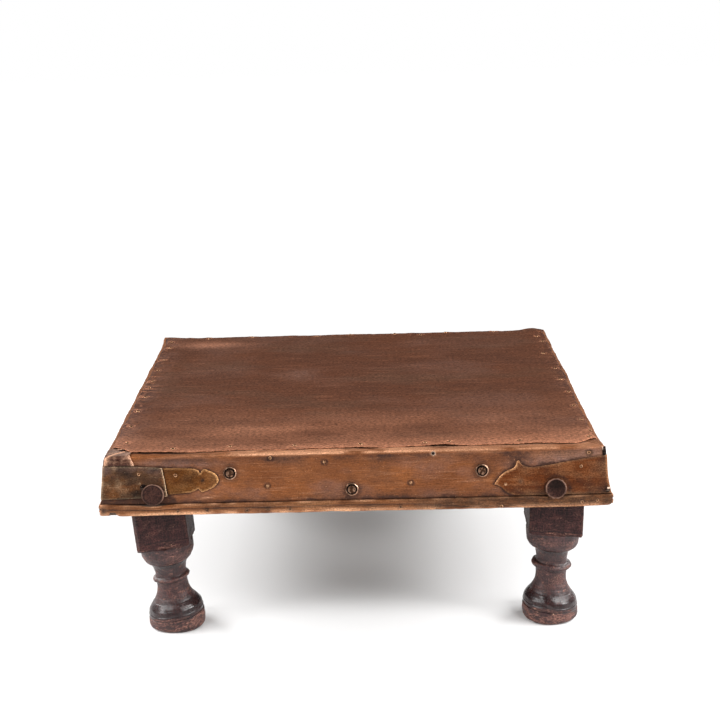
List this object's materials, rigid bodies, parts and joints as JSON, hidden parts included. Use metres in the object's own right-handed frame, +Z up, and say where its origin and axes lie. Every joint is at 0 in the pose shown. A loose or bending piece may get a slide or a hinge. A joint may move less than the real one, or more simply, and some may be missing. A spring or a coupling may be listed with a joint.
{
  "type": "low metal-clad wooden table",
  "caption": "Square low table: a plank top with a flared apron clad in copper sheet, a beaded lip, brass corner straps, iron studs and turned dark wood legs.",
  "frame": {"origin": "on the floor, under the middle of the table", "axes": "+Z up, +X to the right seen from the front, -Y towards the front, where the patched corner is on the left"},
  "size_m": [0.581, 0.5826, 0.2275],
  "materials": {
    "top_copper": "aged copper sheet, dark reddish brown, finely brushed and mottled",
    "side_copper": "aged copper sheet, warmer and more golden than the top, smeared with tarnish",
    "plate_bronze": "dull greenish brown bronze sheet",
    "strap_brass": "worn brass, brown in the hollows",
    "iron": "rusty forged iron",
    "fixings": "tarnished screw and cup washer",
    "dark_wood": "dark stained hardwood, glossy where handled, dusty at its edges",
    "bare_wood": "dry, unfinished timber"
  },
  "bodies": {
    "root": {"plank_front": "bare_wood", "plank_middle": "bare_wood", "plank_rear": "bare_wood", "cleat_left": "bare_wood", "cleat_right": "bare_wood", "top_sheet": "top_copper", "apron_front": "bare_wood", "lip_core_front": "bare_wood", "skirt_front": "side_copper", "lip_sheet_front": "side_copper", "apron_right": "bare_wood", "lip_core_right": "bare_wood", "skirt_right": "side_copper", "lip_sheet_right": "side_copper", "apron_rear": "bare_wood", "lip_core_rear": "bare_wood", "skirt_rear": "side_copper", "lip_sheet_rear": "side_copper", "apron_left": "bare_wood", "lip_core_left": "bare_wood", "skirt_left": "side_copper", "lip_sheet_left": "side_copper", "leg_front_left": "dark_wood", "leg_front_right": "dark_wood", "leg_rear_left": "dark_wood", "leg_rear_right": "dark_wood", "strap_front_right": "strap_brass", "strap_rear_right": "strap_brass", "strap_rear_left": "strap_brass", "corner_cap": "top_copper", "corner_plate": "plate_bronze", "plate_tongue": "strap_brass", "stud_front_left": "iron", "stud_front_right": "iron", "stud_rear_left": "iron", "stud_rear_right": "iron", "screw_front_left": "fixings", "washer_front_left": "fixings", "screw_front_middle": "fixings", "washer_front_middle": "fixings", "screw_front_right": "fixings", "washer_front_right": "fixings", "screw_right_left": "fixings", "washer_right_left": "fixings", "screw_right_right": "fixings", "washer_right_right": "fixings", "screw_rear_left": "fixings", "washer_rear_left": "fixings", "screw_rear_middle": "fixings", "washer_rear_middle": "fixings", "screw_rear_right": "fixings", "washer_rear_right": "fixings", "screw_left_left": "fixings", "washer_left_left": "fixings", "screw_left_right": "fixings", "washer_left_right": "fixings"}
  },
  "joints": []
}
